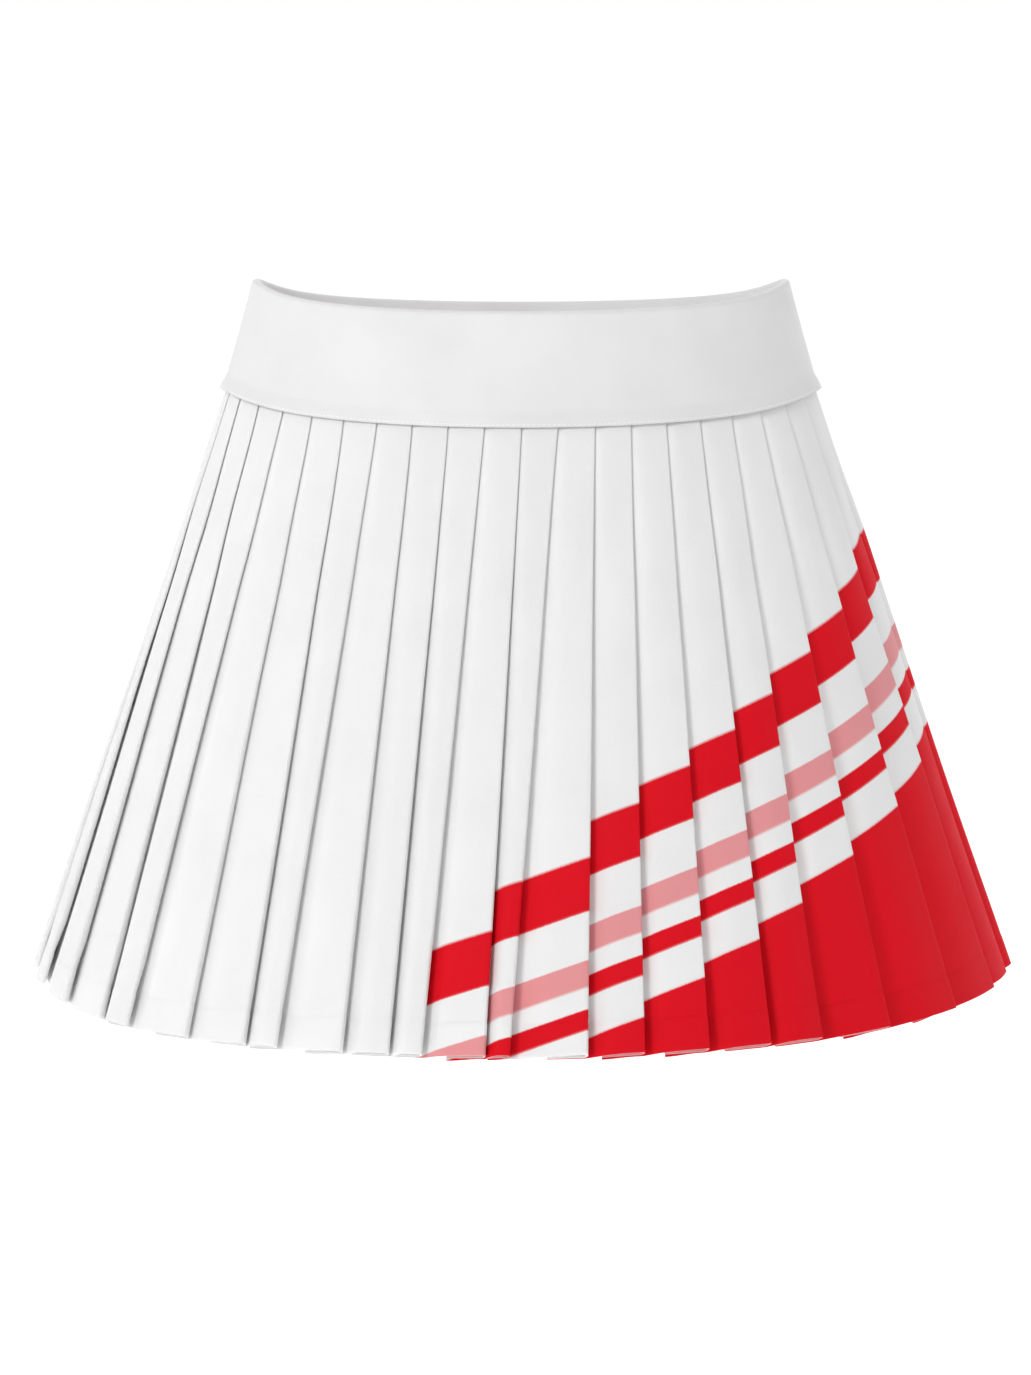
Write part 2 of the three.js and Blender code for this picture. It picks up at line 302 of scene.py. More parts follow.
# ---- Meshes ----
def cloth_mesh(name, middle, above, below, uv, values=None):
    """A closed sheet of cloth from a grid of middle points. It reaches above and below them, and
    its rim is closed. values are numbers for each grid point that a material reads."""
    rows, columns = middle.shape[:2]
    down = np.gradient(middle, axis=0)
    across = np.gradient(middle, axis=1)
    normal = unit(np.cross(down, across))
    front = middle + above[..., None] * normal
    back = middle - below[..., None] * normal
    points = np.concatenate([front.reshape(-1, 3), back.reshape(-1, 3)])
    half = rows * columns
    grid = np.arange(half).reshape(rows, columns)
    a, b = grid[:-1, :-1].ravel(), grid[:-1, 1:].ravel()
    c, d = grid[1:, 1:].ravel(), grid[1:, :-1].ravel()
    faces = [np.stack([a, d, c, b], 1), np.stack([a, b, c, d], 1) + half]
    edges = [(grid[0, 1:], grid[0, :-1]), (grid[-1, :-1], grid[-1, 1:]),
             (grid[:-1, 0], grid[1:, 0]), (grid[1:, -1], grid[:-1, -1])]
    rim = [np.stack([s, s + half, e + half, e], 1) for s, e in edges]
    sheet_faces = 2 * len(a)
    quads = np.concatenate(faces + rim)
    mesh = bpy.data.meshes.new(name)
    mesh.vertices.add(len(points))
    mesh.vertices.foreach_set("co", points.astype(np.float32).ravel())
    mesh.loops.add(quads.size)
    mesh.loops.foreach_set("vertex_index", quads.astype(np.int32).ravel())
    mesh.polygons.add(len(quads))
    mesh.polygons.foreach_set("loop_start", np.arange(0, quads.size, 4, dtype=np.int32))
    flat = np.zeros(len(quads), bool)
    flat[sheet_faces:] = True
    mesh.update(calc_edges=True)
    mesh.attributes.new("sharp_face", "BOOLEAN", "FACE").data.foreach_set("value", flat)
    corners = np.concatenate([uv.reshape(-1, 2)] * 2)[quads.ravel()]
    layer = mesh.uv_layers.new(name="cloth")
    layer.data.foreach_set("uv", corners.astype(np.float32).ravel())
    right_side = np.concatenate([np.ones(half), np.zeros(half)])
    for key, value in {"right_side": right_side, **(values or {})}.items():
        if value.size == half:
            value = np.concatenate([value.ravel()] * 2)
        slot = mesh.attributes.new(key, "FLOAT", "POINT")
        slot.data.foreach_set("value", value.astype(np.float32).ravel())
    mesh.validate()
    piece = bpy.data.objects.new(name, mesh)
    bpy.context.scene.collection.objects.link(piece)
    return piece


def finish_piece(piece, material, body, slot, *nodes):
    """Gives a piece its material and the body it rides on, and hides the nodes it stands for. The
    slot is not used.
    """
    piece.data.materials.append(material)
    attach(piece, body)
    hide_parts(*nodes)


# ---- Materials ----
class Nodes:
    """Short names for making a material's nodes."""

    def __init__(self, name):
        self.material = bpy.data.materials.new(name)
        self.material.use_nodes = True
        self.tree = self.material.node_tree
        self.shader = self.tree.nodes["Principled BSDF"]

    def add(self, kind, inputs=None, **settings):
        node = self.tree.nodes.new(kind)
        for key, value in settings.items():
            setattr(node, key, value)
        for key, value in (inputs or {}).items():
            if isinstance(value, bpy.types.NodeSocket):
                self.tree.links.new(value, node.inputs[key])
            else:
                node.inputs[key].default_value = value
        return node

    def math(self, operation, a, b=0.0):
        return self.add("ShaderNodeMath", {0: a, 1: b}, operation=operation).outputs[0]

    def mix(self, share, a, b):
        node = self.add("ShaderNodeMix", data_type="RGBA")
        for socket, value in ((node.inputs[0], share), (node.inputs[6], a), (node.inputs[7], b)):
            if isinstance(value, bpy.types.NodeSocket):
                self.tree.links.new(value, socket)
            else:
                socket.default_value = value
        return node.outputs[2]

    def noise(self, vector, scale, detail=2.0):
        return self.add("ShaderNodeTexNoise", {"Vector": vector, "Scale": scale, "Detail": detail})

    def attribute(self, name):
        return self.add("ShaderNodeAttribute", attribute_name=name).outputs["Fac"]

    def cloth_place(self):
        return self.add("ShaderNodeUVMap", uv_map="cloth").outputs[0]

    def object_place(self):
        return self.add("ShaderNodeTexCoord").outputs["Object"]

    def bump(self, height, strength, distance, after=None):
        inputs = {"Height": height, "Strength": strength, "Distance": distance}
        if after:
            inputs["Normal"] = after
        return self.add("ShaderNodeBump", inputs).outputs[0]

    def set(self, **values):
        for key, value in values.items():
            socket = self.shader.inputs[key.replace("_", " ")]
            if isinstance(value, bpy.types.NodeSocket):
                self.tree.links.new(value, socket)
            else:
                socket.default_value = value
        return self.material


def weave_height(m, place, pitch):
    """Height of a fine twill: diagonal ribs crossed by the threads."""
    scale = 2 * math.pi / pitch
    split = m.add("ShaderNodeSeparateXYZ", {0: place})
    across, up = split.outputs[0], split.outputs[1]
    diagonal = m.math("ADD", m.math("MULTIPLY", across, scale), m.math("MULTIPLY", up, 1.6 * scale))
    rib = m.math("SINE", diagonal)
    warp = m.math("SINE", m.math("MULTIPLY", across, 2 * scale))
    return m.math("ADD", rib, m.math("MULTIPLY", warp, 0.5))


def pleat_cloth_material(colours):
    """White woven polyester, pressed, with diagonal bands printed on it."""
    m = Nodes("pleat_cloth")
    place = m.cloth_place()
    wide = m.noise(m.object_place(), 28.0, 4.0).outputs["Fac"]
    fine = m.noise(place, 900.0, 2.0).outputs["Fac"]
    bleed = m.math("MULTIPLY", m.math("SUBTRACT", fine, 0.5), 0.5 * MM)
    height = m.math("ADD", m.attribute("print_height"), bleed)
    inks = {name: (*getattr(colours, name), 1) for name in ("white", "red", "pink")}
    ramp = m.add("ShaderNodeValToRGB")
    # The ramp covers heights from low to low + span, and each edge is soft either side. All in mm.
    low, span, soft = -60.0, 200.0, 0.25
    points = [(0.0, inks["red"])]
    for (top, colour), (_, above) in zip(PRINT_BANDS, PRINT_BANDS[1:] + ((0, "white"),)):
        points.append(((top - soft - low) / span, inks[colour]))
        points.append(((top + soft - low) / span, inks[above]))
    stops = ramp.color_ramp.elements
    while len(stops) < len(points):
        stops.new(1.0)
    for stop, (at, colour) in zip(stops, points):
        stop.position = at
        stop.color = colour
    share = m.math("DIVIDE", m.math("SUBTRACT", height, low * MM), span * MM)
    m.tree.links.new(share, ramp.inputs[0])
    # The print is paler on the wrong side of the cloth.
    faded = m.math("MULTIPLY", m.math("SUBTRACT", 1.0, m.attribute("right_side")), 0.45)
    colour = m.mix(faded, ramp.outputs[0], inks["white"])
    shade = m.add("ShaderNodeMapRange", {0: wide, 1: 0.3, 2: 0.7, 3: 0.965, 4: 1.0}).outputs[0]
    threads = m.add("ShaderNodeMapRange", {0: fine, 1: 0.2, 2: 0.8, 3: 0.97, 4: 1.0}).outputs[0]
    tint = m.math("MULTIPLY", shade, threads)
    toned = m.add("ShaderNodeVectorMath", {0: colour, 1: tint}, operation="MULTIPLY").outputs[0]
    rough = m.add("ShaderNodeMapRange", {0: wide, 1: 0.3, 2: 0.7, 3: 0.58, 4: 0.7}).outputs[0]
    weave = m.bump(weave_height(m, place, 0.55 * MM), 0.35, 0.05 * MM)
    normal = m.bump(wide, 0.25, 1.2 * MM, weave)
    return m.set(Base_Color=toned, Roughness=rough, Normal=normal, Specular_IOR_Level=0.08,
                 Subsurface_Weight=0.35, Subsurface_Radius=(1, 1, 1), Subsurface_Scale=0.8 * MM)


def knit_material(colours):
    """Smooth white stretch knit: fine columns of loops."""
    m = Nodes("band_knit")
    place = m.cloth_place()
    split = m.add("ShaderNodeSeparateXYZ", {0: place})
    wale = m.math("MULTIPLY", split.outputs[0], 2 * math.pi / (0.8 * MM))
    course = m.math("MULTIPLY", split.outputs[1], 2 * math.pi / (0.55 * MM))
    column = m.math("ABSOLUTE", m.math("SINE", wale))
    loops = m.math("SINE", m.math("ADD", course, m.math("MULTIPLY", column, 2.2)))
    height = m.math("ADD", column, m.math("MULTIPLY", loops, 0.4))
    wide = m.noise(m.object_place(), 22.0, 3.0).outputs["Fac"]
    knit = (*colours.knit, 1)
    grey = (*(0.95 * c for c in colours.knit), 1)
    colour = m.mix(m.add("ShaderNodeMapRange", {0: wide, 1: 0.35, 2: 0.65}).outputs[0], knit, grey)
    rough = m.add("ShaderNodeMapRange", {0: wide, 1: 0.3, 2: 0.7, 3: 0.66, 4: 0.76}).outputs[0]
    fine = m.bump(height, 0.3, 0.06 * MM)
    normal = m.bump(wide, 0.3, 1.5 * MM, fine)
    return m.set(Base_Color=colour, Roughness=rough, Normal=normal, Sheen_Weight=0.2,
                 Sheen_Roughness=0.5, Specular_IOR_Level=0.3)


def webbing_material(name, colour, pitch, rough):
    """A woven tape or elastic, with ribs across it at about a pitch."""
    m = Nodes(name)
    place = m.object_place()
    split = m.add("ShaderNodeSeparateXYZ", {0: place})
    turn = m.math("ARCTAN2", split.outputs[0], split.outputs[1])
    mean_reach = 120 * MM
    rib = m.math("SINE", m.math("MULTIPLY", turn, mean_reach * 2 * math.pi / pitch))
    course = m.math("SINE", m.math("MULTIPLY", split.outputs[2], 2 * math.pi / pitch))
    height = m.math("MULTIPLY", rib, course)
    base = (*colour, 1)
    # Painted shade: the cloth is painted darker in the grooves between the ribs, where the bump
    # dips.
    groove_shade = (*(0.88 * c for c in colour), 1)
    share = m.add("ShaderNodeMapRange", {0: height, 1: -1.0, 2: 1.0}).outputs[0]
    return m.set(Base_Color=m.mix(share, groove_shade, base), Roughness=rough,
                 Normal=m.bump(height, 0.5, 0.2 * MM), Sheen_Weight=0.15)


def thread_material():
    """Spun white sewing thread."""
    m = Nodes("white_thread")
    twist = m.noise(m.object_place(), 4000.0, 1.0).outputs["Fac"]
    colour = m.mix(twist, (0.78, 0.78, 0.77, 1), (0.9, 0.9, 0.89, 1))
    return m.set(Base_Color=colour, Roughness=0.5, Sheen_Weight=0.2)


def label_material():
    """Blank satin ribbon."""
    m = Nodes("label_satin")
    place = m.cloth_place()
    height = weave_height(m, place, 0.4 * MM)
    fine = m.noise(place, 600.0, 2.0).outputs["Fac"]
    colour = m.mix(fine, (0.86, 0.86, 0.85, 1), (0.93, 0.93, 0.92, 1))
    return m.set(Base_Color=colour, Roughness=0.35, Normal=m.bump(height, 0.2, 0.03 * MM),
                 Sheen_Weight=0.1)


def paper_material():
    """Plain white paper that glows a little, so that it stays white."""
    m = Nodes("studio_paper")
    grain = m.noise(m.object_place(), 6.0, 3.0).outputs["Fac"]
    colour = m.mix(grain, (0.93, 0.93, 0.93, 1), (0.95, 0.95, 0.95, 1))
    return m.set(Base_Color=colour, Roughness=0.95, Specular_IOR_Level=0.0,
                 Emission_Color=(1, 1, 1, 1), Emission_Strength=0.36)


# ---- Pleats ----
def pleat_rows(length, hem_turn):
    """Distances down a pleat: from inside the band to the hem, closer at both ends."""
    top_end = 6 * MM
    hem_start = length - hem_turn - 2 * MM
    top = np.linspace(-SEAM_ALLOWANCE, top_end, 7)
    middle = np.linspace(top_end, hem_start, 44)[1:]
    hem = np.linspace(hem_start, length, 16)[1:]
    return np.concatenate([top, middle, hem])


def fold_place(fold, share, wander):
    """Where a fold edge lies round the seam, in pleats. It wanders more towards the hem."""
    return fold + wander[fold % PLEATS] * share ** 0.7


def face_width(number, share, wander, length):
    """Width of a pleat's visible face."""
    span = fold_place(number, share, wander) - fold_place(number - 1, share, wander)
    return span * pitch_at(number - 1, share * length, length)


def layer_depth(fold, share):
    """How far under the fold's edge the next pleat's face starts. The pressed layers lie a little
    closer than the room left for them, most of all on the wearer's right."""
    side = 0.93 + 0.2 * math.sin(fold * 2 * math.pi / PLEATS)
    return 2 * side * mix(0.85 * LAYER_STEP_TOP, LAYER_STEP_HEM, share)


def pleat_grid(number, sizes, wander):
    """Grid of middle points of one pleat and, for each, how far along the folded cloth it lies,
    how far above the hem, and how far across from the visible edge. Last, the face's width."""
    length = sizes.pleat_length
    rows = pleat_rows(length, sizes.hem_turn)
    down = np.maximum(rows, 0)
    share = down / length
    start = fold_place(number - 1, share, wander)
    scale = pitch_at(number - 1, down, length)
    width = face_width(number, share, wander, length)
    widest = DEEPEST_FOLD * face_width(number - 1, share, wander, length)
    hidden = np.minimum(fold_depth(number - 1, share, length), widest)
    tuck = np.minimum(fold_depth(number, share, length), DEEPEST_FOLD * width)
    before, after = layer_depth(number - 1, share), layer_depth(number, share)
    tucked = np.clip(tuck / width, 0.3, 0.93)
    soft = np.maximum(1.3, np.log(0.7) / np.log(tucked))
    ease = mix(np.log(0.3) / np.log(tucked), soft, smooth(0, 0.5, share))
    # The cloth turned back under the fold lies between the face and the next pleat, with room
    # on both sides of it.
    spare = after * (1 - tucked ** ease)
    room = mix(0.42, 0.6, share ** 0.5) * MM + 0.35 * MM * smooth(0.9, 0.94, share)
    under = np.minimum(0.76, 1 - room / spare)
    # The fold's edge: half its thickness, and how far it is rounded off.
    nose = under * after / 2
    round_off = np.minimum(nose, mix(0.6, 1.3, share) * MM)

    def face_depth(s):
        """How far the face lies below the even surface, at a share of its width."""
        return mix(before, after, s) * (1 - np.clip(s, 0, 1)) ** ease

    distances, depths, travel = [], [], []
    run = np.zeros_like(down)

    def add(distance, deep):
        nonlocal run
        if distances:
            run = run + np.hypot(distance - distances[-1], deep - depths[-1])
        distances.append(distance)
        depths.append(deep)
        travel.append(run)

    for t in np.linspace(0, 1, HIDDEN_POINTS + 1)[:-1]:
        add(mix(-hidden, 0, t), before)
    for t in np.linspace(0, 1, FACE_POINTS):
        s = t ** 1.35 * (1 - round_off / width)
        add(s * width, face_depth(s))
    for angle in np.linspace(0, math.pi, 9)[1:-1]:
        add(width - round_off * (1 - math.sin(angle)), nose * (1 - math.cos(angle)))
    for t in np.linspace(0, 1, 11):
        distance = mix(width - round_off, width - tuck + 0.3 * MM, t)
        add(distance, mix(face_depth(distance / width), after, under))
    distance = np.stack(distances, 1)
    deep = np.stack(depths, 1)
    travel = np.stack(travel, 1)
    place = start[:, None] + distance / scale[:, None]
    # The cloth behind each fold hangs a little lower.
    extra = (1 + math.sin(number * 1.7)) * 0.5 * MM * smooth(0.15, 1, -distance / hidden[:, None])
    rows_grid = rows[:, None] * (1 + extra / length)
    face = np.clip(distance / width[:, None], 0, 1)
    # Each face bows out, and has a soft crease where the fold below presses through.
    bow = 0.7 * MM * (1 + math.sin(number * 2.4)) * np.sin(math.pi * face) ** 2
    crease_at = 0.33 + 0.1 * math.sin(number * 4.1)
    ridge = np.minimum(face / crease_at, (1 - face) / (1 - crease_at))
    bow = bow + 1.1 * MM * (1 + math.sin(number * 5.3)) * smooth(0, 1.15, ridge)
    bow = bow * share[:, None] * np.clip(width[:, None] / (24 * MM), 0, 1) ** 2
    column = np.arange(place.shape[1])
    visible = (column > FACE_START) & (column < FACE_END)
    deep = deep - np.where(visible[None, :], bow, 0)
    lift = drape(place, rows_grid, length)
    points = skirt_point(place, rows_grid, deep - lift, length)
    height = length - np.repeat(rows[:, None], place.shape[1], 1)
    return points, travel, height, distance, width


def print_start(number):
    """Height of the solid red above the hem, at the visible left edge of a pleat, and which way
    the bands slope. The bands climb to the side seam and come down again behind it."""
    side = PLEATS // 4
    sizes = bpy.context.scene.skirt_sizes
    turned = number if number <= side else 2 * side + 1 - number
    even = FIRST_RED_HEIGHT + sizes.band_rise * (turned - FIRST_RED_PLEAT)
    base = even + PRINT_SHIFT.get(turned, 0) * MM
    return base, 1 if number <= side else -1


def printed(number):
    """Printed pleats run from the one before the middle of the front to its mirror behind."""
    return number == PLEATS or number <= PLEATS // 2 + 1


def pleat_print(number, height, distance, width):
    """Height of each point above the solid red, as the bands run on a pleat."""
    if not printed(number):
        return np.full(height.shape, NO_PRINT_HEIGHT)
    sizes = bpy.context.scene.skirt_sizes
    base, way = print_start(0 if number == PLEATS else number)
    across = distance if way > 0 else width[:, None] - distance
    # Behind the fold the cloth runs on, so the bands do too.
    return height - base - sizes.band_slope * across


class SKIRT_OT_pleats(bpy.types.Operator):
    """Makes the knife pleats, each a folded sheet of cloth that rides on its own body"""

    bl_idname = "skirt.make_pleats"
    bl_label = "Make pleats"

    def execute(self, context):
        sizes = context.scene.skirt_sizes
        material = pleat_cloth_material(context.scene.skirt_colours)
        wander = fold_wander()
        for number in range(1, PLEATS + 1):
            points, travel, height, distance, width = pleat_grid(number, sizes, wander)
            hem = 1 - smooth(sizes.hem_turn - 1.2 * MM, sizes.hem_turn + 0.4 * MM, height)
            crease = np.exp(-((height - sizes.hem_turn) / (0.9 * MM)) ** 2)
            above = sizes.cloth / 2 + 0.12 * MM * hem - 0.14 * MM * crease
            below = sizes.cloth / 2 + 0.3 * MM * hem
            uv = np.stack([travel, height], -1)
            values = {"print_height": pleat_print(number, height, distance, width)}
            node = f"pleat_{number:02d}"
            piece = cloth_mesh(f"pleat_cloth_{number:02d}", points, above, below, uv, values)
            slot = "printed_pleat_cloth" if printed(number) else "pleat_cloth"
            finish_piece(piece, material, node, slot, node)
        return {"FINISHED"}


# ---- Waistband ----
def band_path(turn, knit):
    """The band's middle line at each turn, from the outside edge at the seam, over the top and
    down to the inside edge: distance out from the oval, and height above the seam."""
    tall = rim_height(turn) - seam_height(turn)
    rim_out = BAND_OUTSIDE - band_flare(turn)
    radius = RIM_THICKNESS / 2
    ring = radius - knit / 2
    outs, heights = [], []
    for t in np.linspace(0, 1, BAND_OUTSIDE_ROWS + 1)[:-1] ** 1.15:
        height = (tall - radius) * t
        out = mix(BAND_OUTSIDE, rim_out, t) - knit / 2
        # The elastic inside pads the band from a little way above the seam.
        pad = smooth(7 * MM, 10 * MM, height) * 0.35 * MM
        kick = mix(2.0, 0.8, front_share(turn)) * MM * (1 - smooth(0, 9 * MM, height))
        bow = -0.25 * MM * np.sin(math.pi * t)
        outs.append(out + pad * (1 - t) + kick + bow)
        heights.append(height)
    for angle in np.linspace(0, math.pi, 13):
        outs.append(rim_out - radius + ring * math.cos(angle))
        heights.append(tall - radius + ring * math.sin(angle))
    inside = -(CLOTH_STACK + TUCK_ROOM + knit / 2)
    for t in np.linspace(1, 0, 16)[1:]:
        outs.append(mix(inside, rim_out - 2 * radius + knit / 2, t))
        heights.append((tall - radius) * t)
    return np.stack(outs), np.stack(heights)


def band_half(name, centre, knit):
    """Half of the band between the side seams, with its two ends drawn in a little at the seam.
    Also the height and width of its cloth laid flat."""
    columns = 150
    half = WAIST / 4 - 0.25 * MM
    arc = arc_at(centre) + np.linspace(-half, half, columns)
    turn = turn_at(arc)
    outs, heights = band_path(turn, knit)
    from_seam = half - np.abs(arc - arc_at(centre))
    draw = 0.45 * MM * np.exp(-from_seam / (1.2 * MM))
    ripple = 0.12 * MM * np.sin(arc / (6.5 * MM)) * np.sin(arc / (23 * MM) + 1.0)
    low = np.exp(-heights / (7 * MM))
    points = oval_point(np.broadcast_to(turn, outs.shape), outs - draw + ripple * low,
                        seam_height(turn) + heights)
    steps = np.linalg.norm(np.diff(points[:, columns // 2], axis=0), axis=-1)
    cloth_up = np.concatenate([[0], np.cumsum(steps)])
    uv = np.stack(np.broadcast_arrays(arc[None, :], cloth_up[:, None]), -1)
    groove = np.exp(-((heights - EDGE_STITCH_HEIGHT) / (0.8 * MM)) ** 2)
    groove[len(outs) // 2:] = 0
    above = knit / 2 - 0.16 * MM * groove
    below = np.full(outs.shape, knit / 2)
    return cloth_mesh(name, points[::-1], above[::-1], below, uv[::-1]), cloth_up[-1], 2 * half


class SKIRT_OT_waistband(bpy.types.Operator):
    """Makes the two halves of the folded knit waistband"""

    bl_idname = "skirt.make_waistband"
    bl_label = "Make waistband"

    def execute(self, context):
        material = knit_material(context.scene.skirt_colours)
        knit = context.scene.skirt_sizes.knit
        for node, centre in (("waistband_front", 0.0), ("waistband_back", math.pi)):
            piece, tall, wide = band_half(node + "_cloth", centre, knit)
            finish_piece(piece, material, "frame", "band_knit", node)
        return {"FINISHED"}


def tape_line(height):
    """A line round the tape at a height above the waist seam, and how far the tape leans in."""
    turn = turn_at(np.arange(TAPE_POINTS) / TAPE_POINTS * WAIST)
    tall = rim_height(turn) - seam_height(turn)
    inside = -(CLOTH_STACK + TUCK_ROOM + 0.9 * MM)
    rim_inside = BAND_OUTSIDE - band_flare(turn) - RIM_THICKNESS
    slope = (rim_inside - inside) / (tall - RIM_THICKNESS / 2)
    out = inside + slope * height - 1.1 * MM
    return oval_point(turn, out, seam_height(turn) + height), np.arctan(-slope)


def mesh_group(name, sizes):
    """An empty node group from a mesh to a mesh, with an input for each of the sizes."""
    tree = bpy.data.node_groups.new(name, "GeometryNodeTree")
    face = tree.interface
    face.new_socket("Geometry", in_out="INPUT", socket_type="NodeSocketGeometry")
    for key, value in sizes.items():
        socket = face.new_socket(key, in_out="INPUT", socket_type="NodeSocketFloat")
        socket.default_value = value
    face.new_socket("Geometry", in_out="OUTPUT", socket_type="NodeSocketGeometry")
    return tree


def tape_tree(material):
    """Sweeps a flat, round-edged tape along the path of the mesh that it is given. The mesh says
    how far the tape leans at each point."""
    tree = mesh_group("Tape along a path", TAPE_SIZES)
    node = tree.nodes.new
    link = tree.links.new
    start, end = node("NodeGroupInput"), node("NodeGroupOutput")
    curve = node("GeometryNodeMeshToCurve")
    upright = node("GeometryNodeSetCurveNormal")
    upright.mode = "Z_UP"
    lean = node("GeometryNodeInputNamedAttribute")
    lean.data_type = "FLOAT"
    lean.inputs["Name"].default_value = "lean"
    turned = node("GeometryNodeSetCurveTilt")
    section = node("GeometryNodeCurvePrimitiveQuadrilateral")
    round_edge = node("GeometryNodeFilletCurve")
    round_edge.mode = "POLY"
    round_edge.inputs["Count"].default_value = 3
    radius = node("ShaderNodeMath")
    radius.operation = "MULTIPLY"
    radius.inputs[1].default_value = 0.4
    sweep = node("GeometryNodeCurveToMesh")
    real = node("GeometryNodeRealizeInstances")
    paint = node("GeometryNodeSetMaterial")
    paint.inputs["Material"].default_value = material
    link(start.outputs["Geometry"], curve.inputs["Mesh"])
    link(curve.outputs[0], upright.inputs["Curve"])
    link(upright.outputs[0], turned.inputs["Curve"])
    link(lean.outputs["Attribute"], turned.inputs["Tilt"])
    link(start.outputs["Tape thickness"], section.inputs["Width"])
    link(start.outputs["Tape width"], section.inputs["Height"])
    link(start.outputs["Tape thickness"], radius.inputs[0])
    link(section.outputs[0], round_edge.inputs["Curve"])
    link(radius.outputs[0], round_edge.inputs["Radius"])
    link(turned.outputs[0], sweep.inputs["Curve"])
    link(round_edge.outputs[0], sweep.inputs["Profile Curve"])
    link(sweep.outputs[0], real.inputs[0])
    link(real.outputs[0], paint.inputs["Geometry"])
    link(paint.outputs[0], end.inputs[0])
    return tree


class SKIRT_OT_inside(bpy.types.Operator):
    """Finishes the elastic, and makes the seam tape and the blank care label"""

    bl_idname = "skirt.make_inside"
    bl_label = "Make inside pieces"

    def execute(self, context):
        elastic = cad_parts["waist_elastic"]
        elastic.data.materials.clear()
        elastic.data.materials.append(webbing_material("elastic", (0.8, 0.8, 0.78), 1.6 * MM, 0.7))
        self.make_tape()
        self.make_label()
        return {"FINISHED"}

    def make_tape(self):
        path, tilt = tape_line(TAPE_MIDDLE)
        material = webbing_material("seam_tape", (0.84, 0.84, 0.82), 1.1 * MM, 0.8)
        edges = [(i, (i + 1) % TAPE_POINTS) for i in range(TAPE_POINTS)]
        piece = node_made("seam_tape_cloth", path, edges, tape_tree(material), material,
                          TAPE_SIZES, {"lean": tilt})
        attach(piece, "frame")
        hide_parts("seam_tape")

    def make_label(self):
        low, high = (np.array(corner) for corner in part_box("care_label"))
        columns, rows = 17, 29
        margin = 0.3 * MM
        across = np.linspace(low[0] + margin, high[0] - margin, columns)[None, :]
        up = np.linspace(high[2], low[2] + margin, rows)[:, None]
        share = (high[2] - up) / (high[2] - low[2])
        curl = 0.5 * MM * np.sin(math.pi * share) + 0.5 * MM * share * np.sin(60 * across)
        x, y, z = np.broadcast_arrays(across, (low[1] + high[1]) / 2 + curl, up)
        points = np.stack([x, y, z], -1)
        thick = np.full(x.shape, 0.12 * MM)
        uv = np.stack([x, z], -1)
        piece = cloth_mesh("care_label_ribbon", points, thick, thick, uv)
        finish_piece(piece, label_material(), "label", "label_satin", "care_label")


# ---- Stitches ----
def stitch_tree(material):
    """Lays a stitch at even steps along each path of the mesh that it is given."""
    sizes = {"Stitch step": 2.4 * MM, "Stitch length": 1.9 * MM, "Thread radius": 0.16 * MM}
    tree = mesh_group("Thread stitches", sizes)
    node = tree.nodes.new
    link = tree.links.new
    start, end = node("NodeGroupInput"), node("NodeGroupOutput")
    curve = node("GeometryNodeMeshToCurve")
    even = node("GeometryNodeResampleCurve")
    even.mode = "LENGTH"
    tangent = node("GeometryNodeInputTangent")
    turn = node("FunctionNodeAlignRotationToVector")
    turn.axis = "Z"
    grain = node("GeometryNodeMeshUVSphere")
    grain.inputs["Segments"].default_value = 8
    grain.inputs["Rings"].default_value = 6
    grain.inputs["Radius"].default_value = 1.0
    size = node("ShaderNodeCombineXYZ")
    half = node("ShaderNodeMath")
    half.operation = "DIVIDE"
    half.inputs[1].default_value = 2.0
    place = node("GeometryNodeInstanceOnPoints")
    real = node("GeometryNodeRealizeInstances")
    smooth_shade = node("GeometryNodeSetShadeSmooth")
    paint = node("GeometryNodeSetMaterial")
    paint.inputs["Material"].default_value = material
    link(start.outputs["Geometry"], curve.inputs["Mesh"])
    link(curve.outputs[0], even.inputs["Curve"])
    link(start.outputs["Stitch step"], even.inputs["Length"])
    link(tangent.outputs[0], turn.inputs["Vector"])
    link(start.outputs["Thread radius"], size.inputs[0])
    link(start.outputs["Thread radius"], size.inputs[1])
    link(start.outputs["Stitch length"], half.inputs[0])
    link(half.outputs[0], size.inputs[2])
    link(even.outputs[0], place.inputs["Points"])
    link(grain.outputs["Mesh"], place.inputs["Instance"])
    link(turn.outputs[0], place.inputs["Rotation"])
    link(size.outputs[0], place.inputs["Scale"])
    link(place.outputs[0], real.inputs[0])
    link(real.outputs[0], smooth_shade.inputs[0])
    link(smooth_shade.outputs[0], paint.inputs["Geometry"])
    link(paint.outputs[0], end.inputs[0])
    return tree


def node_made(name, points, edges, tree, material, sizes, values):
    """A plain mesh that a node tree makes along some edges. sizes are the tree's inputs by name,
    and values are numbers for each point."""
    mesh = bpy.data.meshes.new(name + "_path")
    mesh.from_pydata([tuple(p) for p in points], edges, [])
    for key, value in values.items():
        slot = mesh.attributes.new(key, "FLOAT", "POINT")
        slot.data.foreach_set("value", np.asarray(value, np.float32))
    maker = bpy.data.objects.new(name + "_path", mesh)
    bpy.context.scene.collection.objects.link(maker)
    modifier = maker.modifiers.new("Maker", "NODES")
    modifier.node_group = tree
    sockets = {s.name: s.identifier for s in tree.interface.items_tree if s.in_out == "INPUT"}
    for key, value in sizes.items():
        modifier[sockets[key]] = value
    graph = bpy.context.evaluated_depsgraph_get()
    made = bpy.data.meshes.new_from_object(maker.evaluated_get(graph), depsgraph=graph)
    made.name = name
    made.materials.clear()
    made.materials.append(material)
    maker.modifiers.clear()
    bpy.data.objects.remove(maker)
    if not made.polygons:
        raise RuntimeError(f"{name} came out empty")
    piece = bpy.data.objects.new(name, made)
    bpy.context.scene.collection.objects.link(piece)
    return piece


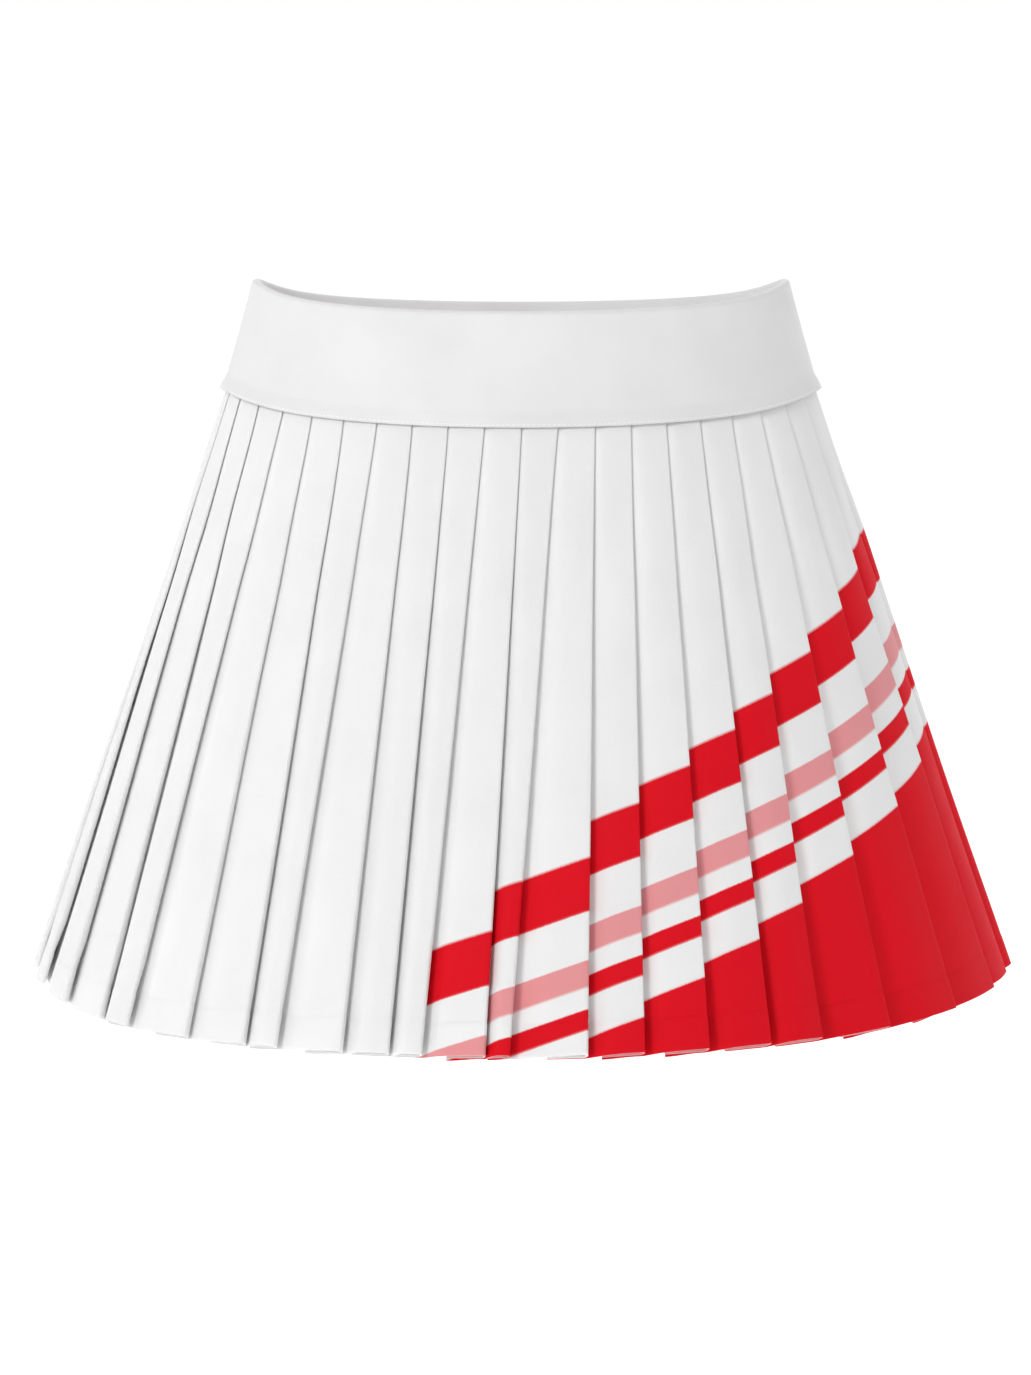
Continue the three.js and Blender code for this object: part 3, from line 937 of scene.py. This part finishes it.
def stitched(name, paths, tree, step, length, radius, values=None):
    """The stitches along some paths, each a list of points."""
    points, edges = [], []
    for path in paths:
        first = len(points)
        points += list(path)
        edges += [(i, i + 1) for i in range(first, len(points) - 1)]
    sizes = {"Stitch step": step, "Stitch length": length, "Thread radius": radius}
    material = tree.nodes["Set Material"].inputs["Material"].default_value
    return node_made(name, points, edges, tree, material, sizes, values or {})


class SKIRT_OT_stitching(bpy.types.Operator):
    """Sews the waist seam, both edges of the seam tape and the hem of every pleat"""

    bl_idname = "skirt.make_stitching"
    bl_label = "Make stitching"

    def execute(self, context):
        sizes = context.scene.skirt_sizes
        tree = stitch_tree(thread_material())
        # The hem is sewn before the cloth is printed, so its thread takes the print as well.
        hem_tree = stitch_tree(context.scene.objects["pleat_cloth_01"].data.materials[0])
        radius = sizes.thread / 2
        rows = []
        for centre in (0.0, math.pi):
            half = WAIST / 4 - 1.5 * MM
            turn = turn_at(arc_at(centre) + np.linspace(-half, half, 300))
            outs, heights = band_path(turn, sizes.knit)
            at = int(np.argmin(np.abs(heights[:BAND_OUTSIDE_ROWS, 0] - EDGE_STITCH_HEIGHT)))
            out = outs[at] + sizes.knit / 2 - 0.12 * MM
            rows.append(oval_point(turn, out, seam_height(turn) + heights[at]))
        seam = stitched("waist_seam_stitches", rows, tree, sizes.stitch, sizes.stitch * 0.8, radius)
        self.sewn(seam, "frame")
        rows = []
        for height in TAPE_STITCH_HEIGHTS:
            path, _ = tape_line(height)
            turn = turn_at(np.arange(TAPE_POINTS) / TAPE_POINTS * WAIST)
            inward = 0.3 * MM * outward(turn)
            rows.append(np.concatenate([path - inward, path[:1] - inward[:1]]))
        tape = stitched("seam_tape_stitches", rows, tree, sizes.stitch * 1.1, sizes.stitch * 0.8,
                        radius)
        self.sewn(tape, "frame")
        wander = fold_wander()
        for number in range(1, PLEATS + 1):
            self.sew_hem(number, sizes, wander, hem_tree, radius)
        return {"FINISHED"}

    def sewn(self, piece, body):
        """Fixes stitches to the body of the cloth that they are sewn in."""
        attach(piece, body)

    def sew_hem(self, number, sizes, wander, tree, radius):
        """Sews across the visible face of one pleat's hem."""
        points, _, height, distance, width = pleat_grid(number, sizes, wander)
        normal = unit(np.cross(np.gradient(points, axis=0), np.gradient(points, axis=1)))
        row = int(np.argmin(np.abs(height[:, 0] - sizes.hem_turn)))
        path = points[row] + (sizes.cloth / 2 - 0.03 * MM) * normal[row]
        face = slice(FACE_START + 1, FACE_END - 1)
        ink = pleat_print(number, height, distance, width)[row, face].astype(np.float32)
        values = {"print_height": ink, "right_side": np.ones_like(ink)}
        name = f"hem_stitches_{number:02d}"
        piece = stitched(name, [path[face]], tree, sizes.stitch * 1.35, sizes.stitch * 0.7,
                         radius * 0.75, values)
        self.sewn(piece, f"pleat_{number:02d}")


# ---- Stage ----
CAMERA_PLACE = Vector((-2.63, -2258.9, 47.2)) * MM
CAMERA_DIP = 0.1102  # radians below level
CAMERA_LENS = 119.5
# Name, place and size in metres, and power in watts.
LIGHTS = (("key", (-1.6, -2.5, 1.2), 0.9, 42),
          ("fill", (2.2, -2.4, 0.6), 1.6, 6),
          ("back", (0.6, 2.6, 1.2), 1.6, 16))
LIGHT_AIM = Vector((0, 0, -0.18))
# The room's strength rises from the first to the second between two directions, front to back.
ROOM_DIRECTIONS = (-0.6, 0.35)
ROOM_STRENGTHS = (0.5, 1.02)
PAPER_RADIUS = 9.0
PAPER_DROP = 0.45


class SKIRT_OT_stage(bpy.types.Operator):
    """Sets up the camera, the pale paper sweep and the soft lights"""

    bl_idname = "skirt.make_stage"
    bl_label = "Make stage"

    def execute(self, context):
        scene = context.scene
        data = bpy.data.cameras.new("camera")
        camera = bpy.data.objects.new("camera", data)
        scene.collection.objects.link(camera)
        data.sensor_fit = "AUTO"
        data.sensor_width = 36
        data.lens = CAMERA_LENS
        data.clip_start = 0.05
        data.clip_end = 50
        data.dof.use_dof = False
        camera.location = CAMERA_PLACE
        camera.rotation_euler = (math.pi / 2 - CAMERA_DIP, 0, 0)
        scene.camera = camera
        self.paper()
        for light in LIGHTS:
            self.light(*light)
        scene.world = self.room()
        scene.view_settings.view_transform = "Standard"
        scene.view_settings.look = "None"
        return {"FINISHED"}

    def room(self):
        """A white room, brighter behind the skirt than in front of it."""
        world = bpy.data.worlds.new("studio")
        world.use_nodes = True
        tree = world.node_tree
        place = tree.nodes.new("ShaderNodeTexCoord")
        split = tree.nodes.new("ShaderNodeSeparateXYZ")
        dim = tree.nodes.new("ShaderNodeMapRange")
        dim.interpolation_type = "SMOOTHSTEP"
        for i, value in enumerate(ROOM_DIRECTIONS + ROOM_STRENGTHS, 1):
            dim.inputs[i].default_value = value
        tree.links.new(place.outputs["Generated"], split.inputs[0])
        tree.links.new(split.outputs[1], dim.inputs[0])
        tree.links.new(dim.outputs[0], tree.nodes["Background"].inputs[1])
        tree.nodes["Background"].inputs[0].default_value = (1, 1, 1, 1)
        return world

    def paper(self):
        """A round disc of paper below the hem."""
        mesh = bpy.data.meshes.new("floor")
        shape = bmesh.new()
        bmesh.ops.create_circle(shape, cap_ends=True, radius=PAPER_RADIUS, segments=96)
        shape.to_mesh(mesh)
        shape.free()
        floor = bpy.data.objects.new("floor", mesh)
        mesh.transform(Matrix.Translation((0, 0, CAD_BOX[0][2] - PAPER_DROP)))
        bpy.context.scene.collection.objects.link(floor)
        mesh.materials.append(paper_material())

    def light(self, name, place, size, power):
        """A soft square light aimed at the middle of the skirt."""
        data = bpy.data.lights.new(name, "AREA")
        data.size = size
        data.energy = power
        lamp = bpy.data.objects.new(name, data)
        lamp.location = place
        aim = LIGHT_AIM - Vector(place)
        lamp.rotation_mode = "QUATERNION"
        lamp.rotation_quaternion = aim.to_track_quat("-Z", "Y")
        bpy.context.scene.collection.objects.link(lamp)


# ---- Panel and running ----
class SKIRT_PT_panel(bpy.types.Panel):
    """Lists the skirt's makers and settings"""

    bl_idname = "SKIRT_PT_panel"
    bl_label = "Cheer skirt"
    bl_space_type = "VIEW_3D"
    bl_region_type = "UI"
    bl_category = "Skirt"

    def draw(self, context):
        for group in (context.scene.skirt_sizes, context.scene.skirt_colours):
            for key in group.__annotations__:
                self.layout.prop(group, key)
        for maker in MAKERS:
            self.layout.operator(maker.bl_idname)


MAKERS = (SKIRT_OT_stage, SKIRT_OT_pleats, SKIRT_OT_waistband, SKIRT_OT_inside, SKIRT_OT_stitching)
CLASSES = (SkirtSizes, SkirtColours, *MAKERS, SKIRT_PT_panel)


def register():
    for each in CLASSES:
        bpy.utils.register_class(each)
    bpy.types.Scene.skirt_sizes = bpy.props.PointerProperty(type=SkirtSizes)
    bpy.types.Scene.skirt_colours = bpy.props.PointerProperty(type=SkirtColours)


def unregister():
    del bpy.types.Scene.skirt_sizes
    del bpy.types.Scene.skirt_colours
    for each in reversed(CLASSES):
        bpy.utils.unregister_class(each)


def main():
    register()
    bpy.ops.skirt.make_stage()
    bpy.ops.skirt.make_pleats()
    bpy.ops.skirt.make_waistband()
    bpy.ops.skirt.make_inside()
    bpy.ops.skirt.make_stitching()


if __name__ == "__main__":
    main()
